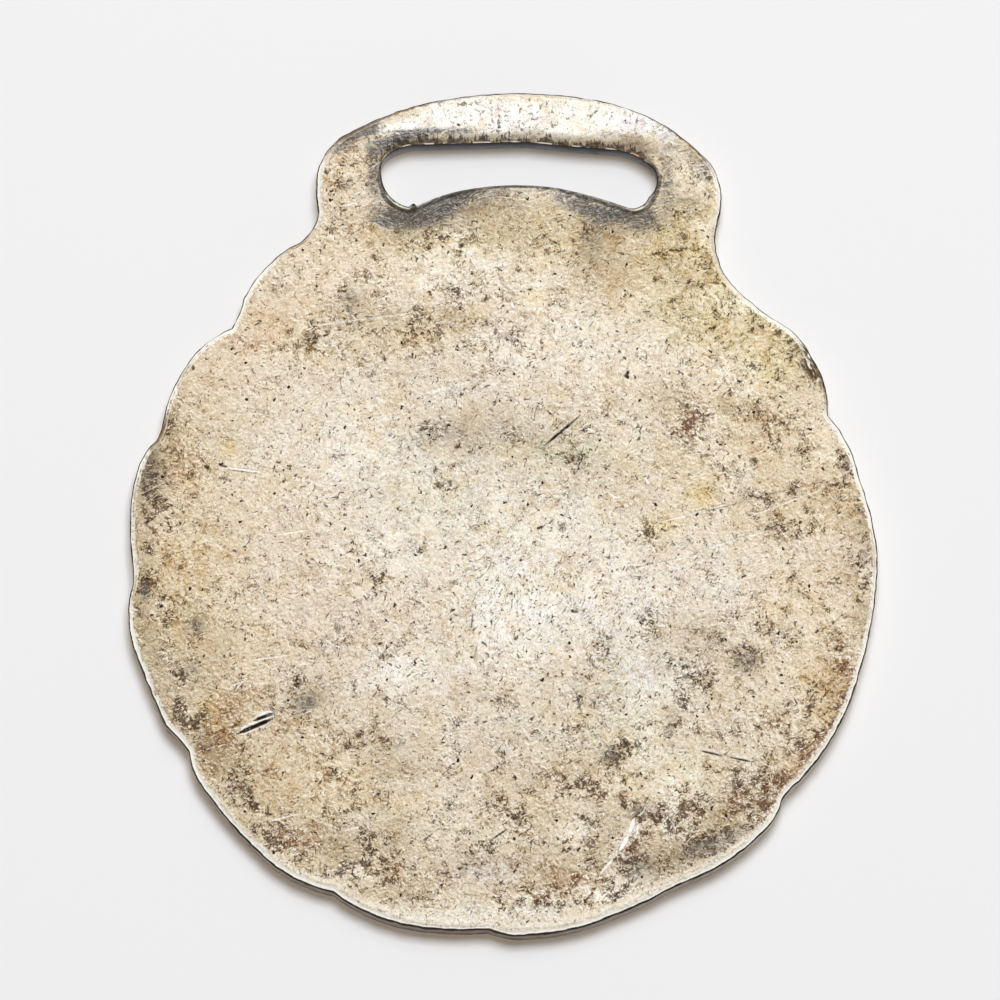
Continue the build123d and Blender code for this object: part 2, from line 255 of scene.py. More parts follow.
        (465, 126, 14, 8, -0.5), (860, 620, 10, 26, -0.5), (490, 214, 46, 14, -0.6),
        (384, 222, 12, 12, 0.6), (648, 222, 12, 8, 0.5), (570, 197, 16, 6, 0.5, -8),
        (690, 195, 18, 40, 0.3), (590, 210, 40, 10, 0.1, -10), (425, 215, 40, 10, -0.4, 8),
        (575, 832, 14, 14, 0.5), (568, 872, 24, 10, -0.5), (668, 858, 28, 12, -0.5, 10),
        (690, 795, 26, 10, 0.4, 15), (362, 868, 16, 12, 0.5), (395, 842, 30, 10, -0.5),
        (310, 690, 16, 14, -0.5), (232, 762, 20, 14, -0.5, 40), (745, 378, 30, 16, 0.5),
        (700, 418, 16, 14, 0.4), (570, 195, 18, 7, 0.6, -8), (645, 222, 12, 7, 0.5),
        (512, 615, 30, 40, 0.5), (440, 312, 30, 12, -0.4, 8), (350, 322, 30, 10, -0.5, 8),
        (720, 308, 20, 16, 0.5), (522, 130, 34, 9, 0.8), (400, 118, 20, 7, -0.5, 12),
        (635, 141, 18, 8, -0.5, -20), (692, 140, 16, 8, -0.6, -35), (158, 470, 16, 26, -0.8),
        (220, 752, 26, 22, -0.6, 30), (402, 112, 24, 9, -0.7, 12), (630, 138, 22, 9, -0.6, -20),
        (690, 138, 20, 10, -0.6, -35), (485, 206, 50, 10, -0.6), (470, 425, 34, 16, -0.4, 10),
        (545, 440, 20, 24, -0.4, 60), (745, 410, 26, 12, -0.7), (668, 398, 22, 14, -0.6),
        (818, 366, 16, 24, -0.6, 25), (852, 520, 26, 30, -0.5), (400, 765, 44, 12, -0.5),
        (265, 800, 30, 20, -0.4, 40), (570, 832, 20, 16, 0.7), (380, 222, 12, 12, 0.8),
        (548, 193, 24, 7, 0.5, -5), (704, 230, 12, 40, 0.6), (515, 130, 50, 8, 0.6),
        (665, 783, 30, 10, 0.5, 20), (850, 640, 14, 26, 0.5), (630, 700, 14, 30, 0.3),
        (335, 840, 20, 16, -0.4), (370, 860, 50, 16, -0.3, -20), (700, 395, 60, 16, -0.3),
        (450, 790, 40, 30, 0.3), (480, 520, 80, 30, 0.2), (230, 585, 50, 14, 0.3),
        (205, 650, 50, 50, -0.5), (215, 750, 24, 24, -0.6, 40), (150, 455, 14, 40, -1.2),
        (680, 850, 34, 16, -0.8, 10), (725, 822, 30, 14, -0.7, 36), (310, 690, 24, 16, -0.3),
        (170, 700, 20, 40, -0.4), (640, 142, 20, 10, -0.7), (470, 205, 50, 9, -0.6),
        (405, 115, 26, 8, -0.5), (395, 255, 30, 10, -0.4), (440, 600, 40, 20, -0.2),
        (330, 770, 30, 24, 0.4), (715, 300, 26, 26, 0.5), (770, 360, 34, 20, 0.3),
        (600, 880, 24, 14, 0.4), (520, 300, 60, 30, 0.2), (740, 600, 60, 40, 0.3),
        (600, 650, 30, 30, 0.3), (560, 890, 50, 12, 0.3), (395, 232, 42, 14, -0.6, -10),
        (600, 264, 36, 34, -0.9), (628, 228, 40, 14, -0.6), (555, 240, 44, 20, -0.4),
        (692, 215, 22, 28, -0.5), (700, 265, 32, 30, -0.4), (195, 420, 30, 40, -0.5, 30),
        (143, 560, 12, 120, -0.9), (152, 655, 14, 60, -0.8), (200, 692, 26, 24, -0.5),
        (345, 848, 26, 14, -0.7), (580, 838, 38, 26, -0.9), (500, 858, 60, 14, -0.4),
        (450, 868, 40, 14, -0.3), (636, 842, 16, 14, -0.5), (725, 800, 22, 32, -0.5, -20),
        (868, 520, 12, 34, -0.9), (864, 600, 10, 34, -0.8), (838, 690, 16, 30, -0.8, 20),
        (812, 362, 18, 22, -0.5), (560, 760, 50, 20, -0.3), (470, 430, 60, 26, -0.5),
        (300, 800, 70, 40, -0.3), (640, 480, 40, 30, -0.3), (750, 500, 60, 24, -0.3),
        (690, 640, 60, 30, -0.3), (360, 340, 60, 40, -0.3), (330, 730, 60, 20, -0.2),
        (450, 265, 70, 16, 0.4), (385, 128, 30, 10, 0.5), (655, 135, 22, 10, 0.6),
        (520, 120, 150, 14, 0.9), (410, 560, 60, 60, 0.2), (250, 590, 60, 40, 0.2),
        (340, 770, 30, 14, 0.4), (735, 838, 40, 12, 0.5, 30),
    ],
    # how far the rubbed zone reaches in from the outline, in millimetres
    "worn": [
        (480, 930, 190, 40, 0.6), (330, 890, 80, 40, 0.35, -30), (690, 885, 90, 34, 0.5, 30),
        (815, 775, 50, 60, 0.15, 30), (215, 790, 40, 60, 0.25, 40), (730, 280, 30, 60, 0.10, 30),
        (240, 320, 60, 60, 0.08, 45), (330, 165, 20, 40, 0.10),
    ],
    # bare copper along the slot's edge
    "copper": [
        (419, 148, 12, 4, 1.0), (454, 145, 8, 4, 1.0), (480, 144, 12, 4, 1.0), (634, 155, 9, 5, 0.9),
    ],
    # where the rubbed outline is brighter, as bare metal with a painted highlight, and below zero browner
    "wearAndGlint": [
        (740, 285, 34, 34, -0.6), (345, 185, 12, 26, 0.7), (718, 195, 12, 34, 0.7),
        (318, 188, 10, 30, 0.9), (480, 930, 190, 40, -0.35), (158, 430, 14, 40, -1.8, 20),
        (190, 372, 18, 24, -0.7, 40), (395, 108, 44, 12, -1.2, 10), (345, 125, 24, 16, -1.0, 30),
        (690, 140, 20, 20, -1.4, -35), (820, 380, 12, 30, -1.6, 15), (864, 620, 12, 40, -0.4),
        (136, 500, 10, 34, -0.5), (300, 252, 16, 16, -0.6, 30), (134, 590, 8, 16, -0.8),
        (870, 560, 8, 20, -0.8),
    ],
}

# Tints of the silver: a colour that is multiplied into it, then the spots where it shows
tints = {
    "olive": ((0.865, 0.832, 0.59), [
        (672, 250, 34, 40, 0.45), (540, 590, 60, 14, 0.4), (680, 320, 40, 30, 0.5),
        (690, 255, 48, 52, 1.0), (740, 325, 60, 30, 0.9, -35), (782, 362, 30, 28, 1.0),
        (410, 235, 50, 20, 0.7), (530, 235, 80, 30, 0.5), (180, 600, 30, 60, 0.5),
        (450, 805, 70, 36, 0.15),
    ]),
    "green": ((0.90, 0.95, 0.80), [
        (420, 500, 60, 30, 0.2), (560, 452, 70, 16, 0.8), (430, 500, 60, 34, 0.2),
        (640, 690, 50, 60, 0.4), (680, 768, 30, 22, 0.5),
    ]),
    "umber": ((0.90, 0.78, 0.58), [
        (220, 735, 22, 34, 0.3, -30), (700, 250, 30, 50, 0.5), (740, 320, 40, 20, 0.4, -35),
        (790, 790, 16, 16, 0.7), (355, 135, 24, 14, 0.8), (740, 350, 30, 14, 0.7),
        (695, 270, 20, 20, 0.5), (820, 705, 14, 30, 0.8), (365, 742, 30, 14, 0.7),
        (280, 722, 30, 12, 0.7), (410, 342, 36, 12, 0.6), (190, 575, 40, 20, 0.7),
        (245, 555, 24, 20, 0.4), (380, 225, 14, 14, 0.8), (300, 345, 20, 30, 0.5),
        (636, 790, 20, 14, 1.0), (385, 790, 46, 18, 0.2, -20), (180, 455, 20, 34, 1.0),
        (770, 430, 60, 30, 0.8, -25), (845, 560, 20, 90, 0.6), (843, 700, 16, 50, 0.8, 18),
        (792, 768, 22, 30, 0.6, 45), (560, 880, 30, 16, 0.6), (822, 690, 26, 50, 0.8, 20),
        (260, 640, 50, 40, 0.5), (590, 245, 30, 30, 0.6), (640, 265, 30, 20, 0.6),
        (200, 530, 34, 60, 0.6), (780, 520, 30, 14, 0.6), (820, 500, 36, 30, 0.7),
        (800, 600, 40, 40, 0.4), (240, 700, 30, 20, 0.2), (300, 770, 90, 40, 0.9),
        (260, 790, 40, 40, 0.5), (395, 870, 60, 26, 0.3), (540, 790, 60, 30, 0.5),
        (205, 650, 30, 30, 0.5), (400, 330, 50, 20, 0.4), (760, 690, 60, 50, 0.4),
    ]),
    "rose": ((0.98, 0.86, 0.77), [
        (380, 480, 20, 40, 0.3), (180, 370, 16, 26, 1.0, 30), (160, 570, 26, 60, 0.5),
        (275, 312, 50, 30, 0.8, 25), (230, 360, 40, 30, 0.7, 40), (345, 190, 34, 60, 0.6),
        (350, 270, 60, 24, 0.5), (300, 560, 70, 120, 0.3),
    ]),
    "yellow": ((0.96, 0.84, 0.46), [
        (212, 715, 18, 26, 0.6), (228, 722, 26, 14, 0.3, 30), (702, 495, 15, 14, 1.1),
        (662, 523, 18, 14, 0.8), (535, 298, 14, 7, 0.8), (228, 448, 8, 8, 0.9),
    ]),
    "lilac": ((0.97, 0.96, 1.03), [
        (635, 135, 24, 14, 1.2), (840, 570, 14, 34, 1.0), (655, 672, 30, 20, 0.8),
        (452, 868, 30, 14, 1.0), (515, 865, 22, 14, 1.0), (460, 690, 26, 14, 0.8),
        (480, 785, 80, 34, 0.8), (500, 312, 60, 22, 0.6), (470, 872, 70, 20, 0.6),
        (640, 640, 110, 60, 0.4), (340, 590, 60, 40, 0.4), (340, 650, 50, 50, 0.5),
        (415, 124, 18, 10, 0.8), (635, 121, 18, 9, 0.8), (520, 112, 110, 16, 0.5),
        (560, 600, 120, 50, 0.4), (700, 560, 60, 40, 0.3), (450, 380, 60, 40, 0.3),
    ]),
    "silver": ((0.95, 0.99, 1.08), [
        (600, 255, 30, 20, 0.4), (450, 735, 120, 36, 0.45), (780, 760, 20, 14, 0.5),
        (470, 460, 150, 90, 0.35), (300, 560, 40, 140, 0.35), (640, 640, 100, 80, 0.3),
        (520, 868, 40, 16, 0.4), (400, 745, 50, 24, 0.6), (510, 770, 50, 40, 0.4),
        (160, 455, 14, 30, 1.0), (640, 130, 24, 12, 1.0), (730, 700, 30, 30, 0.5),
        (730, 530, 30, 20, 0.5), (620, 830, 30, 16, 0.7), (475, 868, 60, 18, 0.6),
        (460, 690, 30, 16, 0.6), (640, 675, 50, 30, 0.6), (480, 440, 110, 60, 0.7),
        (400, 495, 30, 30, 0.6), (842, 570, 13, 34, 0.8),
    ]),
}

# The mesh of the fob and the larger wear on it. Lengths are in millimetres, places in photo pixels.
fobShape = {
    "cell": 0.8,            # squares that the back is first cut into
    "rounds": 9,            # most rounds of halving the mesh's long edges
    "backEdge": 0.21,       # longest mesh edge on the back
    "rimEdge": 0.15,        # and near its outline
    "rimBand": 0.7,
    "wallEdge": 0.32,       # and on the walls, from this far below the back
    "wallStart": 0.3,
    "markEdge": 0.045,      # and around marks
    "markBand": 0.16,
    "markReach": 0.1,       # and no further below the back than this
    "slack": 1.35,          # an edge is halved when it is this many times too long
    "sharpAngle": 50,       # degrees
    "lipHeight": 0.18,      # metal pushed up beside a stroke, as a share of its depth
    "lipBelow": 0.45,       # how much of it, and of its painted highlight, is left on the stroke's lower side
    "lipPlace": 0.055,      # where it stands, outside the stroke
    "lipWidth": 0.06,
    "wearReach": 0.4,       # strokes and pits reach no further below the back
    "waveDepth": 0.035,     # ghost of the struck front on the back
    "edgeChew": 0.05,       # how far the outline is worn inwards, unevenly
    "chewBand": 0.3,
    "chewScale": 2.1,
    "burrPlace": (413, 207),  # burr that stands in the slot at its lower left corner
    "burrSize": (0.13, 0.2, 0.26),
    "scar": (814, 366, 9, 22, 28),  # torn end of the right shoulder, as a spot without strength
    "scarDepth": 0.10,
    "slotBox": (520, 172),  # middle of a rounded box that holds the slot's rim alone
    "slotBoxReach": (7.4, 2.55),
    "slotMiddle": 178,      # height of the slot's middle in the photo
    "slotHeight": 3.45,     # the slot, its worn round and the bar's slope, as in the part
    "slotRound": 0.12,
    "barSlope": 0.55,
    "tabFoot": 285,         # height of the tab's foot in the photo
    "spotFall": 0.9,        # how fast the soft spots fade from their middle
}
backTag, wallTag, frontTag = 1, 2, 0
nearly = 1e-4   # millimetres between points that count as one
far = 9         # any distance from an edge that is too great to matter


def addObject(name, data):
    made = bpy.data.objects.new(name, data)
    bpy.context.scene.collection.objects.link(made)
    return made


def allMarks():
    # every mark as a line with a half width, for refining the mesh around it
    lines = []
    for x0, y0, x1, y1, width, *more in sum(strokes.values(), []):
        lines.append((*fromPhoto(x0, y0), *fromPhoto(x1, y1), width))
    for x, y, radius, depth in pits:
        lines.append((*fromPhoto(x, y), *fromPhoto(x, y), radius))
    return lines


def lineDistance(x, y, line):
    # distance from points to a line, and how far along it they lie, from 0 to 1
    x0, y0, x1, y1 = line[:4]
    dx, dy = x1 - x0, y1 - y0
    square = max(dx * dx + dy * dy, 1e-9)
    along = np.clip(((x - x0) * dx + (y - y0) * dy) / square, 0, 1)
    return np.hypot(x - x0 - along * dx, y - y0 - along * dy), along


def tagFaces(bm):
    # the flat back, the walls with the worn round above them, and the front
    lowestBack, lowestWall = fobHigh[2] - 0.01, fobHigh[2] * 0.6
    for face in bm.faces:
        heights = [v.co.z for v in face.verts]
        if min(heights) > lowestBack:
            face.material_index = backTag
        elif max(heights) > lowestWall:
            face.material_index = wallTag
        else:
            face.material_index = frontTag


def backGeometry(bm):
    faces = [f for f in bm.faces if f.material_index == backTag]
    edges = {e for f in faces for e in f.edges}
    verts = {v for f in faces for v in f.verts}
    return faces + list(edges) + list(verts)


def clearBack(bm):
    # the flat back loses the lines inside it, so that it can be cut into even squares
    inner = [e for e in bm.edges if all(f.material_index == backTag for f in e.link_faces)]
    bmesh.ops.dissolve_limit(bm, angle_limit=radians(1), verts=[], edges=inner, use_dissolve_boundaries=False)


def cutSquares(bm):
    cell = fobShape["cell"]
    for axis in (0, 1):
        count = int((fobHigh[axis] - fobLow[axis]) / cell)
        for step in range(1, count + 1):
            place, normal = [0.0, 0.0, 0.0], [0.0, 0.0, 0.0]
            place[axis] = fobLow[axis] + step * cell
            normal[axis] = 1.0
            bmesh.ops.bisect_plane(bm, geom=backGeometry(bm), dist=nearly, plane_co=place, plane_no=normal)


def splitFace(face, middles):
    # a triangle with halved edges is cut into triangles, each cut from the middle of a halved edge
    while len(face.verts) > 3:
        verts = face.verts[:]
        cuts = []
        for before, corner, after in zip(verts[-1:] + verts[:-1], verts, verts[1:] + verts[:1]):
            if corner not in middles and (before in middles or after in middles):
                cuts.append(((before.co - after.co).length, len(cuts), before, after))
        part = bmesh.utils.face_split(face, *min(cuts)[2:])[0]
        face = max(face, part, key=lambda f: len(f.verts))


def longestEdges(middle, onWall, tree, marks):
    # the length that each edge may have, from where its middle is
    below = fobHigh[2] - middle[:, 2]
    rim = np.array([tree.find((x, y, 0))[2] for x, y, z in middle])
    longest = np.where(rim < fobShape["rimBand"], fobShape["rimEdge"], fobShape["backEdge"])
    longest = np.where(onWall & (below > fobShape["wallStart"]), fobShape["wallEdge"], longest)
    for line in marks:
        distance, along = lineDistance(middle[:, 0], middle[:, 1], line)
        near = (distance < line[4] + fobShape["markBand"]) & (below < fobShape["markReach"])
        longest = np.where(near, np.minimum(longest, fobShape["markEdge"]), longest)
    return longest


def refine(bm):
    # longer edges are halved until each is as short as its place asks for
    marks = allMarks()
    tree = outlineTree(bm, "slot", "rim")
    for turn in range(fobShape["rounds"]):
        edges = [e for e in bm.edges if any(f.material_index != frontTag for f in e.link_faces)]
        middle = np.array([((e.verts[0].co + e.verts[1].co) / 2)[:] for e in edges])
        length = np.array([e.calc_length() for e in edges])
        onWall = np.array([any(f.material_index == wallTag for f in e.link_faces) for e in edges])
        tooLong = length > longestEdges(middle, onWall, tree, marks) * fobShape["slack"]
        chosen = [edges[i] for i in np.flatnonzero(tooLong)]
        print("refining, turn", turn, "edges", len(chosen))
        if not chosen:
            break
        halved = bmesh.ops.subdivide_edges(bm, edges=chosen, cuts=1, use_grid_fill=True)
        middles = {v for v in halved["geom_inner"] if isinstance(v, bmesh.types.BMVert)}
        for face in [f for f in bm.faces if len(f.verts) > 3]:
            splitFace(face, middles)


def isSlotEdge(middle):
    x, y = fromPhoto(*fobShape["slotBox"])
    across, up = fobShape["slotBoxReach"]
    return ((middle[0] - x) / across) ** 4 + ((middle[1] - y) / up) ** 4 < 1


def outlineTree(bm, *kinds):
    # points along the edges between the flat back and the worn round beside it, by kind
    spacing = 0.04
    points = []
    for edge in bm.edges:
        if {f.material_index for f in edge.link_faces} != {backTag, wallTag}:
            continue
        a, b = (v.co for v in edge.verts)
        if ("slot" if isSlotEdge((a + b) / 2) else "rim") in kinds:
            steps = max(1, int((b - a).length / spacing))
            points += [a.lerp(b, i / steps) for i in range(steps + 1)]
    tree = kdtree.KDTree(len(points))
    for i, point in enumerate(points):
        tree.insert((point.x, point.y, 0), i)
    tree.balance()
    return tree


def blob(x, y, px, py, across, up, turn=0):
    # a soft ellipse, 1 in its middle and falling to 0 outside
    cx, cy = fromPhoto(px, py)
    c, s = cos(radians(turn)), sin(radians(turn))
    u = ((x - cx) * c + (y - cy) * s) / (across * mmPerPixel)
    v = (-(x - cx) * s + (y - cy) * c) / (up * mmPerPixel)
    return np.exp(-fobShape["spotFall"] * (u * u + v * v))


def blobs(x, y, group):
    # a group of spots, added up
    total = np.zeros_like(x)
    for px, py, across, up, strength, *turn in group:
        total += strength * blob(x, y, px, py, across, up, *turn)
    return total


def makeFob():
    bm = bmesh.new()
    bm.from_mesh(fobNode.data)
    bmesh.ops.scale(bm, vec=(1 / mm,) * 3, verts=bm.verts)
    bmesh.ops.remove_doubles(bm, verts=bm.verts, dist=nearly)
    tagFaces(bm)
    clearBack(bm)
    cutSquares(bm)
    print("back cut into squares, faces", len(bm.faces))
    bmesh.ops.triangulate(bm, faces=bm.faces[:], quad_method="BEAUTY", ngon_method="BEAUTY")
    refine(bm)
    rimTree, slotTree = outlineTree(bm, "rim"), outlineTree(bm, "slot")
    bmesh.ops.recalc_face_normals(bm, faces=bm.faces[:])
    mesh = bpy.data.meshes.new("fob")
    bm.to_mesh(mesh)
    bm.free()
    shapeBack(mesh, rimTree, slotTree)
    mesh.materials.clear()
    for polygon in mesh.polygons:
        polygon.material_index = 0
    mesh.shade_smooth()
    mesh.set_sharp_from_angle(angle=radians(fobShape["sharpAngle"]))
    mesh.transform(Matrix.Scale(mm, 4))
    print("fob faces", len(mesh.polygons))
    return addObject("fob", mesh)


def carveMarks(x, y, upper):
    # how deep the strokes and pits go, and where they are dark and bright
    down, cut, scratchAndSheen = np.zeros((3, len(x)))
    for x0, y0, x1, y1, width, depth, dark, lip in sum(strokes.values(), []):
        distance, along = lineDistance(x, y, (*fromPhoto(x0, y0), *fromPhoto(x1, y1)))
        taper = np.clip(np.sin(pi * np.clip(along, 0.03, 0.97)) * 1.6, 0.25, 1)
        inside = np.clip(1 - (distance / (width * taper)) ** 2, 0, 1) * upper
        outside = distance - width * taper - fobShape["lipPlace"]
        beside = np.exp(-(outside / fobShape["lipWidth"]) ** 2) * taper * upper
        beside *= np.where(y > fromPhoto(0, y0 + along * (y1 - y0))[1], 1, fobShape["lipBelow"])
        down += depth * inside - fobShape["lipHeight"] * depth * lip * beside
        if dark > 0:
            cut = np.maximum(cut, dark * np.clip(inside * 3, 0, 1))
            # the raised lip is painted as a highlight, weaker on its lower side
            scratchAndSheen = np.maximum(scratchAndSheen, lip * beside)
        else:
            scratchAndSheen = np.maximum(scratchAndSheen, -dark * np.clip(inside * 1.6, 0, 1))
    for px, py, radius, depth in pits:
        cx, cy = fromPhoto(px, py)
        angle = np.arctan2(y - cy, x - cx)
        reach = radius * (0.8 + 0.3 * np.sin(2 * angle + px) + 0.25 * np.sin(3 * angle + py))
        inside = np.clip(1 - ((x - cx) ** 2 + (y - cy) ** 2) / reach ** 2, 0, 1) * upper
        down += depth * inside
        cut = np.maximum(cut, np.clip(inside * 2, 0, 1))
    return down, cut, scratchAndSheen


def meshNumbers(values, name):
    # three numbers for each vertex
    flat = np.empty(len(values) * 3, dtype=np.float32)
    values.foreach_get(name, flat)
    return flat.reshape(-1, 3).astype(float)


def shapeBack(mesh, rimTree, slotTree):
    place = meshNumbers(mesh.vertices, "co")
    normal = meshNumbers(mesh.vertex_normals, "vector")
    x, y, z = place.T.copy()
    below = fobHigh[2] - z
    onBack, upper = below < 0.02, below < fobShape["wearReach"]
    trees = (rimTree, slotTree)
    rim, slotRim = (np.array([tree.find((a, b, 0))[2] for a, b in zip(x, y)]) for tree in trees)
    down, cut, scratchAndSheen = carveMarks(x, y, upper)

    # outline worn unevenly, and the burr
    chew = np.array([0.5 + noise.noise(Vector(spot) * fobShape["chewScale"]) for spot in place])
    chew = np.clip(chew * (rim < fobShape["chewBand"]), 0, 1)
    place[:, :2] -= (normal[:, :2].T * chew * fobShape["edgeChew"]).T
    burrX, burrY = fromPhoto(*fobShape["burrPlace"])
    across, along, height = fobShape["burrSize"]
    burr = np.exp(-(((x - burrX) / across) ** 2 + ((y - burrY) / along) ** 2))
    burr *= np.clip((0.5 - below) / 0.3, 0, 1)
    place[:, 1] += height * burr
    cut = np.maximum(cut, np.clip(burr * 1.5, 0, 1))

    # the ghost of the strike as slow waves, and the torn end of the right shoulder
    wave = np.sin(x * 0.55 + 1.3 * np.sin(y * 0.31)) * np.cos(y * 0.48)
    down += fobShape["waveDepth"] * (0.5 + 0.5 * wave) * onBack
    scar = blob(x, y, *fobShape["scar"])
    down += fobShape["scarDepth"] * np.clip(scar * 1.5 - 0.3, 0, 1) * upper
    facet = [noise.noise(Vector((a * 5, b * 3, 0))) * 5 if s > 0.15 else 0.0 for a, b, s in zip(x, y, scar)]
    facet = np.array(facet)
    torn = np.clip(scar * 2 - 0.4, 0, 1) * upper
    place[:, 2] = z - down * upper
    mesh.vertices.foreach_set("co", place.reshape(-1))
    mesh.update()

    # what the material reads at each vertex
    maps = {name: blobs(x, y, group) for name, group in spots.items()}
    # the torn end's facets are painted dark and bright, as shade and highlights on torn metal
    maps["cut"] = np.maximum(cut, 0.55 * torn * np.clip(0.9 - facet * 2, 0, 1))
    maps["scratchAndSheen"] = np.maximum(scratchAndSheen, 0.4 * torn * np.clip(facet * 2 - 1, 0, 1))
    maps["rim"] = np.clip(rim, 0, far)
    maps["worn"] = 1 - rim / (0.04 + maps["worn"])
    # on the tab, the outline is hardly rubbed bright and carries little painted highlight
    onTab = np.clip((y - fromPhoto(0, fobShape["tabFoot"])[1]) / 2, 0, 1)
    maps["wearAndGlint"] = np.clip(1 - 0.85 * onTab + maps["wearAndGlint"] - 2 * scar, -1, 1) * (rim < 0.6)
    # distance from the slot's own edge, over its worn round, which widens into the bar's slope
    above = y - fromPhoto(0, fobShape["slotMiddle"])[1]
    share = np.clip(above / fobShape["slotHeight"], 0, 0.5)
    deep = np.clip(below / fobShape["slotRound"], 0, 1)
    slope = fobShape["slotRound"] + 2 * share * fobShape["barSlope"]
    maps["slotUp"] = np.where(rim < slotRim, far, slope * (1 - deep) + slotRim * (deep < 0.02))
    maps["barSide"] = np.clip((share - 0.22) / 0.08, 0, 1)
    maps["slotFoot"] = np.clip((-above - 0.6) / 0.4, 0, 1)
    for name, values in maps.items():
        layer = mesh.attributes.new(name, "FLOAT", "POINT")
        layer.data.foreach_set("value", values.astype(np.float32))

    tint = np.ones((len(x), 4), dtype=np.float32)
    for colour, group in tints.values():
        for px, py, across, up, strength, *turn in group:
            weight = np.clip(strength * blob(x, y, px, py, across, up, *turn), 0, 1)[:, None]
            tint[:, :3] *= 1 - weight * (1 - np.array(colour))
    layer = mesh.attributes.new("tint", "FLOAT_COLOR", "POINT")
    layer.data.foreach_set("color", tint.reshape(-1))


class Wire:
    # a socket that Python's own operators can work on
    def __init__(self, tree, socket=None):
        self.tree = tree
        self.socket = socket

    def put(self, kind, inputs=None, output=0, **settings):
        # any other node: its type, the values or links of its sockets, which output, its settings
        node = self.tree.nodes.new(kind)
        for name, value in settings.items():
            setattr(node, name, value)
        for key, value in (inputs or {}).items():
            if isinstance(value, Wire):
                self.tree.links.new(value.socket, node.inputs[key])
            else:
                node.inputs[key].default_value = value
        return Wire(self.tree, node.outputs[output])

    def maths(self, operation, *values):
        return self.put("ShaderNodeMath", dict(enumerate(values)), operation=operation)

    def __add__(self, other):
        return self.maths("ADD", self, other)

    __radd__ = __add__

    def __sub__(self, other):
        return self.maths("SUBTRACT", self, other)

    def __rsub__(self, other):
        return self.maths("SUBTRACT", other, self)

    def __mul__(self, other):
        return self.maths("MULTIPLY", self, other)

    __rmul__ = __mul__

    def __truediv__(self, other):
        return self.maths("DIVIDE", self, other)

    def above(self, low, high):
        # 0 below low, 1 above high, smooth between; low above high turns it round
        if isinstance(low, Wire) or isinstance(high, Wire) or low < high:
            inputs = {"Value": self, "From Min": low, "From Max": high}
            return self.put("ShaderNodeMapRange", inputs, interpolation_type="SMOOTHSTEP")
        return 1 - self.above(high, low)

    def swing(self, low, high):
        # noise, which stays near 0.5, spread to -1 at low and 1 at high
        inputs = {"Value": self, "From Min": low, "From Max": high, "To Min": -1.0, "To Max": 1.0}
        return self.put("ShaderNodeMapRange", inputs)

    def clip(self):
        return self.put("ShaderNodeClamp", {"Value": self})

    def size(self):
        return self.maths("ABSOLUTE", self)

    def most(self, other):
        return self.maths("MAXIMUM", self, other)

    def near(self, value, outer, inner):
        # 1 within inner of a value, 0 beyond outer
        return (self - value).size().above(outer, inner)

    def part(self, axis):
        # one of a vector's three numbers
        return self.put("ShaderNodeSeparateXYZ", {0: self}, axis)

    def moved(self, x, y):
        # a place, moved over the plate
        return self.put("ShaderNodeVectorMath", {0: self, 1: (x, y, 0)}, operation="ADD")

    def scaled(self, x, y, z):
        return self.put("ShaderNodeVectorMath", {0: self, 1: (x, y, z)}, operation="MULTIPLY")

    def turned(self, x, y, z):
        # a place, turned about the three axes
        return self.put("ShaderNodeMapping", {"Vector": self, "Rotation": (x, y, z)})

    def swirled(self, reach, scale):
        # a place, pushed about by slow noise, so that what is drawn on it bends
        slow = self.put("ShaderNodeTexNoise", {"Vector": self, "Scale": scale, "Detail": 1.0}, 1)
        inputs = {0: slow, 1: (reach, reach, 0), 2: self}
        return self.put("ShaderNodeVectorMath", inputs, operation="MULTIPLY_ADD")

    def noise(self, scale, detail=2.0, roughness=0.5, distortion=0.0):
        # leaned over first, so that the flat back doesn't lie along the noise's own grid
        inputs = {"Vector": self.turned(0.61, 0.47, 0.35), "Scale": scale, "Detail": detail}
        inputs.update({"Roughness": roughness, "Distortion": distortion})
        return self.put("ShaderNodeTexNoise", inputs)

    def ramp(self, stops):
        # colours along a value: each stop is a position and a colour
        made = self.put("ShaderNodeValToRGB", {0: self})
        elements = made.socket.node.color_ramp.elements
        while len(elements) < len(stops):
            elements.new(0.5)
        for element, (position, colour) in zip(elements, stops):
            element.position = position
            element.color = (*colour, 1)
        return made

    def mix(self, other, factor, blend):
        if not isinstance(other, Wire):
            other = (*other, 1)
        inputs = {0: factor, 6: self, 7: other}
        return self.put("ShaderNodeMix", inputs, 2, data_type="RGBA", blend_type=blend)

    def blend(self, other, factor):
        # this colour, turned into another by a factor
        return self.mix(other, factor, "MIX")

    def stained(self, other, factor):
        # this colour, turned by a factor into itself times another
        return self.blend(self.mix(other, 1.0, "MULTIPLY"), factor)


def newMaterial(name):
    material = bpy.data.materials.new(name)
    material.use_nodes = True
    tree = material.node_tree
    return material, tree, tree.nodes["Principled BSDF"]


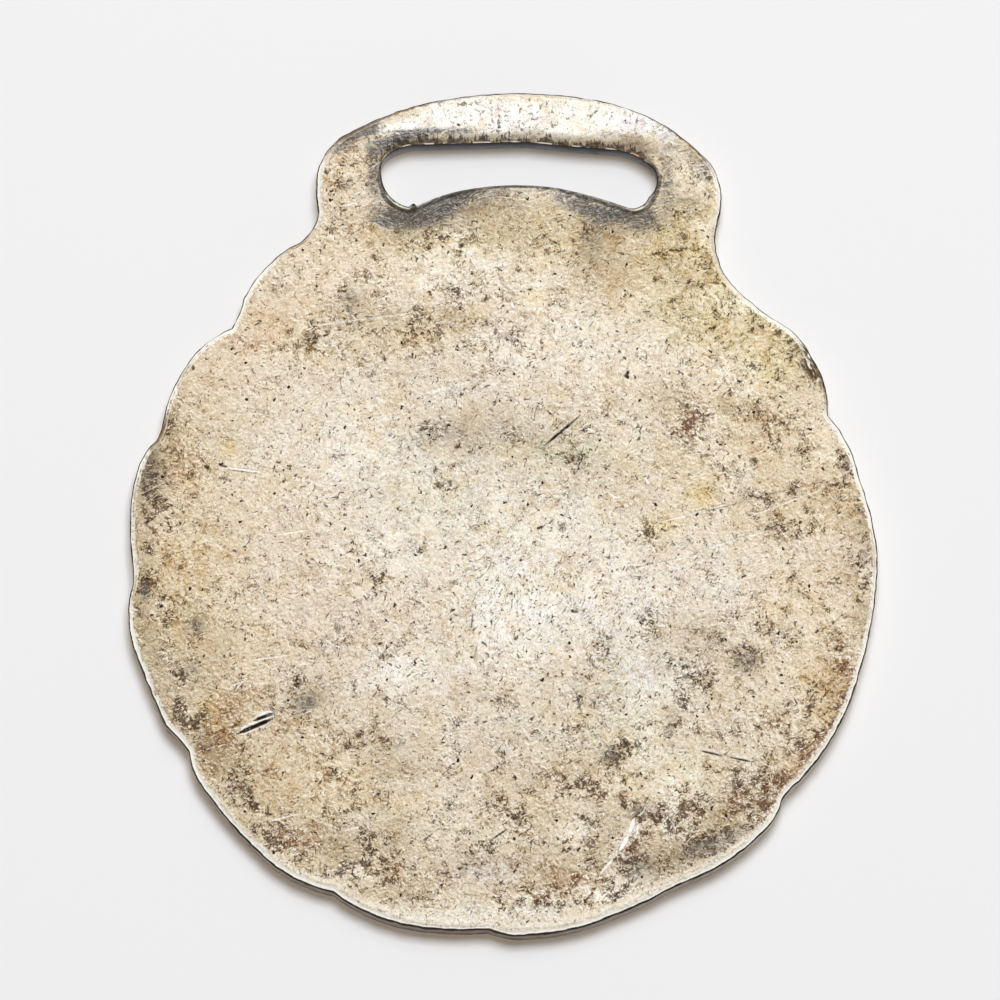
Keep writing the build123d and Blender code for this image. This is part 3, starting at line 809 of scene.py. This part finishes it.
# Looks of the plate. Its colours are linear, and tone is how bright the clean plate is.
plate = {
    "tone": 0.829,
    "metallic": 0.75,
    "roughness": 0.44,
    "wallRoughness": 0.9,
    "bump": 0.35,
    "bumpDistance": 0.00004,  # metres
    # multiplied into the silver
    "cool": (0.94, 0.96, 0.95),
    "ochre": (0.93, 0.84, 0.68),
    "slope": (0.74, 0.66, 0.54),
    # rust, dirt and scratches
    "rusty": (0.36, 0.20, 0.085),
    "dusky": (0.30, 0.225, 0.155),
    "smudge": (0.30, 0.20, 0.11),
    "thread": (0.42, 0.24, 0.10),
    "gleam": (0.95, 0.91, 0.80),
    "fleck": (0.34, 0.26, 0.17),
    "rub": (0.17, 0.12, 0.065),
    "isle": (0.17, 0.118, 0.080),
    "dash": (0.90, 0.85, 0.72),
    "dot": (0.02, 0.016, 0.012),
    # outline
    "rubbed": (0.90, 0.81, 0.65),
    "teeth": (0.20, 0.11, 0.05),
    "dull": (0.24, 0.15, 0.07),
    "bareAndHighlight": (1.0, 0.955, 0.86),
    "scratchAndSheen": (0.97, 0.94, 0.88),
    # slot
    "stalk": (0.065, 0.050, 0.040),
    "edgeGlint": (0.95, 0.84, 0.72),
    "copper": (0.85, 0.45, 0.24),
    "slotLine": (0.035, 0.028, 0.022),
    "slotEdge": (0.04, 0.028, 0.02),
    "slotFoot": (0.95, 0.88, 0.74),
    # walls
    "wallPatch": (0.30, 0.23, 0.17),
    "wallFloorReflection": (0.74, 0.68, 0.62),
    "wallPit": (0.06, 0.042, 0.028),
}
# Colours along a value, each with its position
ramps = {
    # by how bright the plate is
    "silver": [
        (0.0, (0.005, 0.004, 0.003)), (0.2, (0.050, 0.033, 0.019)), (0.4, (0.190, 0.130, 0.072)),
        (0.6, (0.415, 0.320, 0.195)), (0.75, (0.645, 0.540, 0.385)), (0.88, (0.850, 0.760, 0.62)),
        (1.0, (0.97, 0.94, 0.87)),
    ],
    "dirt": [(0.0, (0.065, 0.042, 0.027)), (0.5, (0.095, 0.050, 0.026)), (1.0, (0.16, 0.064, 0.026))],
    "tarnish": [
        (0.2, (0.085, 0.072, 0.060)), (0.45, (0.058, 0.065, 0.074)), (0.62, (0.115, 0.125, 0.135)),
        (0.9, (0.40, 0.39, 0.36)),
    ],
    # by depth below the back, as a share of the thickness
    # the outer wall: a paler band below the dark line as a painted reflection, then painted shade towards the
    # table
    "wall": [
        (0.0, (0.12, 0.085, 0.06)), (0.06, (0.05, 0.038, 0.03)), (0.11, (0.018, 0.015, 0.015)),
        (0.25, (0.030, 0.025, 0.023)), (0.42, (0.31, 0.25, 0.20)), (0.60, (0.20, 0.16, 0.13)),
        (1.0, (0.12, 0.098, 0.085)),
    ],
    # the slot's wall: dark under the bar and paler towards the table, painted to meet the shadow there
    "slotWall": [
        (0.16, (0.030, 0.024, 0.021)), (0.34, (0.075, 0.070, 0.072)), (0.65, (0.22, 0.22, 0.24)),
        (1.0, (0.42, 0.43, 0.46)),
    ],
    # by height above the table, in millimetres: rubbed bright where raised, dark in the hollows
    "front": [
        (0.02, (0.70, 0.61, 0.47)), (0.2, (0.50, 0.40, 0.27)), (0.42, (0.20, 0.145, 0.095)),
        (0.6, (0.10, 0.075, 0.055)),
    ],
}


def silverPlate():
    material, tree, shader = newMaterial("silver_plate")
    start = Wire(tree)
    place = start.put("ShaderNodeTexCoord", output=3).scaled(1 / mm, 1 / mm, 1 / mm)
    normal = start.put("ShaderNodeNewGeometry", output=1)
    sideways, upstage, upward = (normal.part(axis) for axis in range(3))
    depth = float(fobHigh[2]) - place.part(2)

    def attribute(name, output=2):
        return start.put("ShaderNodeAttribute", output=output, attribute_name=name)

    grimeMap, polishAndSheenMap, rustMap, tarnishMap, toneAndShadingMap, copperMap, cutMap, scratchAndSheenMap = (
        attribute(name) for name in ("grime", "polishAndSheen", "rust", "tarnish", "toneAndShading", "copper", "cut", "scratchAndSheen")
    )
    rim, worn, wearAndGlint, slotUp, barSide, slotFoot = (
        attribute(name) for name in ("rim", "worn", "wearAndGlint", "slotUp", "barSide", "slotFoot")
    )
    bent = place.swirled(2.0, 0.4)

    def hatch(degrees, length, width, detail=1.0, drawnOn=bent):
        # noise drawn out into short strokes
        turned = drawnOn.turned(0, 0, radians(degrees))
        return turned.scaled(1 / length, 1 / width, 1 / width).noise(1.0, detail, 0.5)

    def embossed(scale, shift, distortion):
        # small curled bumps with painted light and shade: one side of each light and the other dark, from -1
        # to 1
        moved = place.moved(shift * 0.6, shift)
        return (place.noise(scale, 1.0, 0.55, distortion) - moved.noise(scale, 1.0, 0.55, distortion)) * 6

    # grain of the worn plate, from the slowest to the finest, each from -1 to 1
    slow = place.noise(0.35, 3.0, 0.55).swing(0.3, 0.7)
    middle = place.noise(0.9, 4.0, 0.65, 0.3).swing(0.32, 0.68)
    mottle = place.noise(2.2, 3.0, 0.65, 0.6).swing(0.3, 0.7)
    curls = embossed(2.6, 0.07, 1.2)
    grit = embossed(5.5, 0.05, 0.6)
    steep = hatch(-62, 0.42, 0.10).swing(0.33, 0.67)
    flat = hatch(-18, 0.42, 0.10).swing(0.33, 0.67)

    # how dirty each place is, then dark curls and short strokes that gather there
    dirt = grimeMap * (0.8 + middle * 0.7 + mottle * 0.4) + middle * 0.4 + slow * 0.15 + mottle * 0.2 + 0.12
    flake = place.noise(1.3, 3.0, 0.6, 1.0).above(0.51, 0.54)
    rubbed = (worn + mottle * 0.35 + middle * 0.1).above(0.1, 0.35)
    density = (dirt - polishAndSheenMap * 0.3 - flake * 0.3).above(-0.15, 1.25) * (1 - rubbed * 0.75)
    lines = (place.noise(3.0, 1.5, 0.5, 0.9) - 0.5).size()
    # a pale lip beside each dark line, a little above it, painted as if lit from above
    lower = place.moved(0.04, -0.09).noise(3.0, 1.5, 0.5, 0.9)
    lip = lower.near(0.5, 0.035, 0.0) - lines.above(0.05, 0.0)
    worm = (density * 0.115 - 0.012 - lines) / 0.02
    pieces = place.noise(3.9, 1.0, 0.5, 0.4).above(0.56 - density * 0.16, 0.61 - density * 0.16)
    worm = worm.clip() * pieces * (0.78 + curls * 0.35 + mottle * 0.3).clip()
    nicks = hatch(-55, 0.24, 0.11).above(0.69 - density * 0.13, 0.74 - density * 0.13)
    rubs = (polishAndSheenMap * (0.55 + middle * 0.4) + mottle * 0.2 + 0.05).clip() * (1 - barSide * 0.75)
    rubs = hatch(-66, 0.26, 0.09).above(0.58, 0.68) * rubs
    commas = place.noise(4.6, 1.0, 0.5, 0.8) + polishAndSheenMap * 0.035 + density * 0.03 + middle * 0.01
    commas = commas.above(0.69, 0.715) * (0.85 + curls * 0.3).clip()

    # softer brown smudges, and paler flecks where it is clean
    smudge = place.noise(2.9, 2.0, 0.6, 1.0).near(0.5, 0.045, 0.01)
    smudge = smudge * (middle * 0.5 + mottle * 0.3 + 0.5 + rustMap * 0.3).clip()
    flecks = place.noise(4.6, 1.0, 0.5, 0.6).above(0.62, 0.70) * (0.6 - middle * 0.6).clip()
    dusky = place.noise(1.7, 3.0, 0.65, 1.2).above(0.50, 0.60) * (density * 2.2 - flake * 0.5).clip()
    isle = place.noise(1.8, 3.0, 0.6, 0.5).above(0.69 - density * 0.11, 0.705 - density * 0.11)
    thread = place.noise(2.3, 2.0, 0.6, 0.9).near(0.5, 0.022, 0.006)
    thread = thread * (mottle * 0.7 - slow * 0.4 + 0.35).clip()
    # short pale strokes, painted glints
    gleam = hatch(-30, 0.34, 0.075).above(0.64, 0.69)

    # lone black dots
    spotted = {"Vector": place.swirled(0.3, 5.0), "Scale": 1.4}
    dots = start.put("ShaderNodeTexVoronoi", spotted, voronoi_dimensions="2D")
    chance = start.put("ShaderNodeTexVoronoi", spotted, 1, voronoi_dimensions="2D").part(0)
    dotSize = ((chance - 0.80) * 0.55).most(0.0)
    dot = ((dotSize - dots) / 0.03 + 0.5).clip() * chance.above(0.80, 0.83)

    # rubbed lines: long and pale
    paleLine = hatch(-18, 2.6, 0.09, 2.0).above(0.62, 0.72)
    dash = hatch(-20, 0.6, 0.08).above(0.67, 0.71) * (density * 2.0 + 0.1).clip()
    scratch = hatch(-17, 0.8, 0.055)
    scratch = scratch.above(0.63, 0.69) - scratch.above(0.36, 0.30)
    scratch = scratch * (slotUp.above(8.0, 1.0) * 0.7 + mottle * 0.4 + 0.5)

    # how bright the plate is, as a share of full white on the screen
    tone = plate["tone"] + slow * 0.02 + middle * 0.025 + mottle * 0.03
    tone = tone + polishAndSheenMap * 0.115 - density * 0.06 + toneAndShadingMap * 0.12 + flake * 0.02 + rubbed * 0.03
    rugged = 0.46 + density * 1.5 + rustMap * 0.4
    # painted light and shade on the curls, the grain and the lips
    tone = tone + (curls * 0.11 + grit * 0.10 + lip * 0.10 + flat * 0.02) * rugged
    tone = tone + steep * (0.02 + polishAndSheenMap * 0.03) * (1 - barSide * 0.7) + paleLine * 0.06 + scratch * 0.07

    colour = tone.clip().ramp(ramps["silver"])
    colour = colour.stained(attribute("tint", 0), (middle * 0.45 + mottle * 0.35 + 0.7).clip())
    cool = (place.noise(0.8, 4.0, 0.65).swing(0.42, 0.62) * 0.8 + mottle * 0.2).clip()
    colour = colour.stained(plate["cool"], cool * (polishAndSheenMap * 0.8 + 0.35).clip())
    ochre = place.noise(0.6, 5.0, 0.7, 0.4).swing(0.35, 0.65)
    colour = colour.stained(plate["ochre"], (ochre * 0.6 + mottle * 0.35 + density * 0.4 + 0.05).clip())

    # rust and tarnish
    rusty = (rustMap * 1.3 + middle * 0.5 + mottle * 0.4 - 0.5).clip()
    colour = colour.blend(plate["rusty"], rusty * (0.45 - curls * 0.4).clip())
    streak = hatch(-12, 1.8, 0.09, 2.0).swing(0.36, 0.64)
    smear = tarnishMap.most(slotUp.above(0.6, 0.15) * (0.5 + slotFoot * 0.35))
    grey = smear + (streak * 0.35 + curls * 0.25 + mottle * 0.2) * (smear * 1.5).clip()
    greyColour = (middle * 0.15 + grit * 0.25 + streak * 0.28 + 0.47).ramp(ramps["tarnish"])
    colour = colour.blend(greyColour, grey.above(0.1, 1.0) * (0.92 - scratch * 0.3).clip())

    # dirt, flecks and scratches, quieter over the tarnish
    quiet = (1 - grey.above(0.3, 1.0) * 0.6) * (1 - barSide * 0.25)
    for look, amount in {
        "dusky": dusky * (0.36 - curls * 0.3).clip() * quiet,
        "smudge": smudge * 0.5 * quiet,
        "thread": thread * 0.75,
        "gleam": gleam * 0.45 * quiet,
        "fleck": flecks * 0.55,
        "rub": rubs,
        "isle": isle * (0.6 - curls * 0.4).clip() * quiet,
    }.items():
        colour = colour.blend(plate[look], amount)
    brown = (rustMap + middle * 0.3).ramp(ramps["dirt"])
    colour = colour.blend(brown, worm.most(nicks * 0.8).most(commas) * quiet)
    colour = colour.blend(plate["dash"], dash * 0.8)
    colour = colour.blend(plate["dot"], dot.most((cutMap * 1.6 - 0.2).clip()))

    # the outline's worn round: bright bare metal with a painted highlight, stronger where the round turns
    # down, that ends in teeth on the flat, with brown along them
    reach = (0.07 + mottle * 0.09 + curls * 0.07 + middle * 0.04) * wearAndGlint
    bareAndHighlight = ((reach - rim) / 0.025).clip().most(upward.above(0.99, 0.94)) * upward.above(0.45, 0.65)
    teeth = (1 - (rim - reach - 0.04).size() / 0.05).clip() * wearAndGlint
    bright = (wearAndGlint * 1.2 + mottle * 0.5 + middle * 0.3 + 0.05).clip()
    for look, amount in {
        "rubbed": rubbed * 0.3,
        "teeth": teeth * (middle * 0.6 + mottle * 0.6 + 0.3).clip() * 0.6,
        "dull": bareAndHighlight * (mottle * 0.5 - wearAndGlint * 0.7 + 0.25).clip(),
        "bareAndHighlight": bareAndHighlight * bright * (0.6 + upward.above(0.99, 0.95) * 0.4),
        "scratchAndSheen": (scratchAndSheenMap * (1.3 + mottle * 0.7 + curls * 0.4) - cutMap * 1.5).clip(),
    }.items():
        colour = colour.blend(plate[look], amount)

    # the bar's slope, stained darker: partly dirt, partly painted shade where it turns from the light; with
    # dark stalks that rise from the slot's edge, and painted glints along the edge
    tick = hatch(90, 1.3, 0.085, 2.0, place).swing(0.3, 0.7)
    clump = hatch(90, 1.6, 0.55, 2.0, place).swing(0.36, 0.64)
    stalk = tick * 0.22 + clump * 0.26 + mottle * 0.10 + tarnishMap * 0.2 + 0.25
    stalk = ((stalk - slotUp) / 0.06).clip() * barSide
    edgeGlint = hatch(0, 0.9, 0.3, 1.0, place).above(0.50, 0.56) * slotUp.above(0.09, 0.03) * barSide
    colour = colour.stained(plate["slope"], slotUp.above(0.75, 0.1) * barSide)

    # the slot's other sides: a dark line along them, and a pale edge at the foot, painted as a highlight on
    # its lower lip
    slotLine = (slotUp - slotFoot * 0.10).near(0.15, 0.13, 0.05) * (0.8 + mottle * 0.4).clip() * (1 - barSide)
    slotEdge = (slotUp - slotFoot * 0.06).above(0.10, 0.05) * (1 - barSide)
    for look, amount in {
        "stalk": stalk * (0.78 + curls * 0.3).clip(),
        "edgeGlint": edgeGlint,
        "copper": copperMap.above(0.5, 0.8) * slotUp.above(0.16, 0.08),
        "slotLine": slotLine * 0.85,
        "slotEdge": slotEdge,
        "slotFoot": slotEdge * slotFoot * (mottle * 0.7 + 0.6 - cutMap).clip(),
    }.items():
        colour = colour.blend(plate[look], amount)

    # walls, with light and shade painted by depth: dark below the round and brown further down, and slate in
    # the slot
    share = depth / float(fobHigh[2])
    wallColour = (share + middle * 0.06).ramp(ramps["wall"])
    wallGrain = place.noise(0.9, 5.0, 0.7, 0.3).swing(0.36, 0.64)
    patches = (wallGrain * 0.6 + 0.1).clip() * depth.above(0.22, 0.40) * 0.9
    wallColour = wallColour.blend(plate["wallPatch"], patches)
    wallColour = wallColour.blend((share + middle * 0.08).ramp(ramps["slotWall"]), slotUp.above(6.0, 5.0))
    # painted reflection of the pale floor on walls that face the sides, most on the right
    floorReflection = (sideways.size() * 0.55 + sideways * 0.2).clip() * depth.above(0.3, 0.6)
    wallColour = wallColour.blend(plate["wallFloorReflection"], floorReflection)
    wallColour = wallColour.blend(plate["wallPit"], (mottle * 0.5 - wallGrain * 0.5 - 0.25).clip() * 0.8)
    # painted shade: the dark line under the round is made wider on the far side, which the camera sees edge
    # on
    upstage = upstage.most(0.0)
    wall = (upward - upstage * 0.25).above(0.72, 0.5) * (depth + upstage * 0.05).above(0.09, 0.13)
    colour = colour.blend(wallColour, wall)

    hollow = place.part(2) + mottle * 0.07 + middle * 0.05
    colour = colour.blend(hollow.ramp(ramps["front"]), upward.above(-0.35, -0.6))

    rough = plate["roughness"] + mottle * 0.05 + density * 0.12 + grey.clip() * 0.1
    height = steep * 0.2 - worm * 0.5 - nicks * 0.3 - dot * 0.8 + paleLine * 0.2
    bumped = {"Strength": plate["bump"], "Distance": plate["bumpDistance"], "Height": height}
    tree.links.new(colour.socket, shader.inputs["Base Color"])
    tree.links.new(rough.most(wall * plate["wallRoughness"]).clip().socket, shader.inputs["Roughness"])
    tree.links.new(start.put("ShaderNodeBump", bumped).socket, shader.inputs["Normal"])
    shader.inputs["Metallic"].default_value = plate["metallic"]
    return material


light = {
    "sky": 0.15,                        # even light from all round
    "skySeen": 0.46,                    # the same, as reflections and the camera see it
    "horizonLift": 0.80,                # sides of the tent, as reflections see them
    "horizonBand": (0.94, 0.45),        # heights between which they begin
    "keyPlace": (0.04, 0.24, 0.64),     # large soft lamp a little beyond the tab and to the right
    "keySize": 0.36,
    "keyPower": 0.85,
    "keyColour": (1.0, 1.0, 1.0),
    "fillPlace": (0.04, 0.155, 0.70),   # high soft lamp that casts the short shadow, and isn't mirrored
    "fillSize": 0.22,
    "fillPower": 3.25,
    "fillColour": (0.93, 0.99, 1.07),
}
floor = {
    "colour": (0.86, 0.86, 0.86, 1),
    "roughness": 0.9,
    "specular": 0.1,
    "lift": (0.135, 0.10, 0.062, 1),    # what the floor shows in its own shadow, warm
    "size": 1.5,
}
seenRays = ("Is Camera Ray", "Is Glossy Ray", "Is Transmission Ray")


def seen(tree):
    # 1 for the camera's own rays, mirror rays and rays through glass
    path = tree.nodes.new("ShaderNodeLightPath")
    camera, glossy, through = (Wire(tree, path.outputs[name]) for name in seenRays)
    return (camera + glossy + through).clip()


def makeStage():
    material, tree, shader = newMaterial("pale_floor")
    shader.inputs["Base Color"].default_value = floor["colour"]
    shader.inputs["Roughness"].default_value = floor["roughness"]
    shader.inputs["Specular IOR Level"].default_value = floor["specular"]
    # what the camera and reflections see is lifted to near white, and the shadow stays
    shader.inputs["Emission Strength"].default_value = 1.0
    inputs = {0: seen(tree), 6: (0, 0, 0, 1), 7: floor["lift"]}
    lift = Wire(tree).put("ShaderNodeMix", inputs, 2, data_type="RGBA")
    tree.links.new(lift.socket, shader.inputs["Emission Color"])
    bm = bmesh.new()
    bmesh.ops.create_grid(bm, x_segments=1, y_segments=1, size=floor["size"])
    mesh = bpy.data.meshes.new("floor")
    bm.to_mesh(mesh)
    bm.free()
    mesh.materials.append(material)
    addObject("floor", mesh)


def makeLight():
    world = bpy.data.worlds.new("studio")
    world.use_nodes = True
    tree = world.node_tree
    background = tree.nodes["Background"]
    background.inputs["Color"].default_value = (1, 1, 1, 1)
    height = Wire(tree).put("ShaderNodeTexCoord").part(2)
    reflected = light["skySeen"] + height.above(*light["horizonBand"]) * light["horizonLift"]
    strength = light["sky"] + seen(tree) * (reflected - light["sky"])
    tree.links.new(strength.socket, background.inputs["Strength"])
    bpy.context.scene.world = world
    makeLamp("key")
    makeLamp("fill").visible_glossy = False


def makeLamp(name):
    data = bpy.data.lights.new(name, "AREA")
    data.size = light[name + "Size"]
    data.energy = light[name + "Power"]
    data.color = light[name + "Colour"]
    lamp = addObject(name, data)
    lamp.location = light[name + "Place"]
    lamp.rotation_euler = (-Vector(light[name + "Place"])).to_track_quat("-Z", "Y").to_euler()
    return lamp


# The camera: its tilt in degrees, its distance and clipping in metres
view = {"tilt": 9.5, "distance": 0.9, "sensor": 36.0, "near": 0.01, "far": 10}


def makeCamera():
    data = bpy.data.cameras.new("camera")
    data.sensor_width = view["sensor"]
    acrossView = 2 * photo["middle"] * mmPerPixel * mm
    data.lens = view["sensor"] * view["distance"] / acrossView
    data.clip_start, data.clip_end = view["near"], view["far"]
    camera = addObject("camera", data)
    x, y = fromPhoto(photo["middle"], photo["middle"])
    target = Vector((x, y, fobHigh[2])) * mm
    tilt = radians(view["tilt"])
    camera.location = target + view["distance"] * Vector((0, -sin(tilt), cos(tilt)))
    camera.rotation_euler = (tilt, 0, 0)
    bpy.context.scene.camera = camera


fob = makeFob()
fob.data.materials.append(silverPlate())
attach(fob, "root")
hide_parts("fob_medal")
print("fob made")

makeStage()
makeLight()
makeCamera()
bpy.context.scene.view_settings.view_transform = "Standard"
print("stage, light and camera set")
